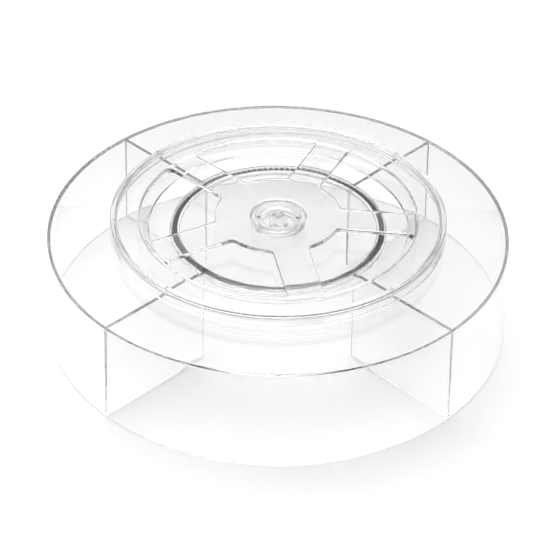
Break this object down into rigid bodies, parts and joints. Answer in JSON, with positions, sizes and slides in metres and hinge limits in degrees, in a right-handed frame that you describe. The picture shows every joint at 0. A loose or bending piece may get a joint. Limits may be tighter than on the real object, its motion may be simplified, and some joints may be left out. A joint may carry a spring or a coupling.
{
  "type": "divided turntable caddy",
  "caption": "Round clear caddy with dividers that turns on a ball ring over a spoked base, shown standing on its mouth.",
  "frame": {"origin": "centre of the tray's mouth, on the surface it stands on", "axes": "+Z along the turning axis, from the mouth towards the base's foot rim; the part is upside down compared with its use"},
  "size_m": [0.292, 0.292, 0.0786],
  "materials": {
    "clear_plastic": "polished clear",
    "ball_steel": "polished"
  },
  "bodies": {
    "tray": {"tray": "clear_plastic"},
    "base": {"base": "clear_plastic", "race_disc": "clear_plastic"},
    "ball_train": {"ball_01": "ball_steel", "ball_02": "ball_steel", "ball_03": "ball_steel", "ball_04": "ball_steel", "ball_05": "ball_steel", "ball_06": "ball_steel", "ball_07": "ball_steel", "ball_08": "ball_steel", "ball_09": "ball_steel", "ball_10": "ball_steel", "ball_11": "ball_steel", "ball_12": "ball_steel", "ball_13": "ball_steel", "ball_14": "ball_steel", "ball_15": "ball_steel", "ball_16": "ball_steel", "ball_17": "ball_steel", "ball_18": "ball_steel", "ball_19": "ball_steel", "ball_20": "ball_steel", "ball_21": "ball_steel", "ball_22": "ball_steel", "ball_23": "ball_steel", "ball_24": "ball_steel", "ball_25": "ball_steel", "ball_26": "ball_steel", "ball_27": "ball_steel", "ball_28": "ball_steel", "ball_29": "ball_steel", "ball_30": "ball_steel", "ball_31": "ball_steel", "ball_32": "ball_steel", "ball_33": "ball_steel", "ball_34": "ball_steel", "ball_35": "ball_steel", "ball_36": "ball_steel", "ball_37": "ball_steel", "ball_38": "ball_steel"}
  },
  "joints": [
    {"name": "base_turn", "type": "hinge", "parent": "tray", "child": "base", "pos_m": [0, 0, 0.0654], "axis": [0, 0, 1], "continuous": true},
    {"name": "ball_train_turn", "type": "hinge", "parent": "tray", "child": "ball_train", "pos_m": [0, 0, 0.0654], "axis": [0, 0, 1], "continuous": true}
  ],
  "couplings": [
    {"joint": "ball_train_turn", "follows": "base_turn", "ratio": 0.5}
  ]
}
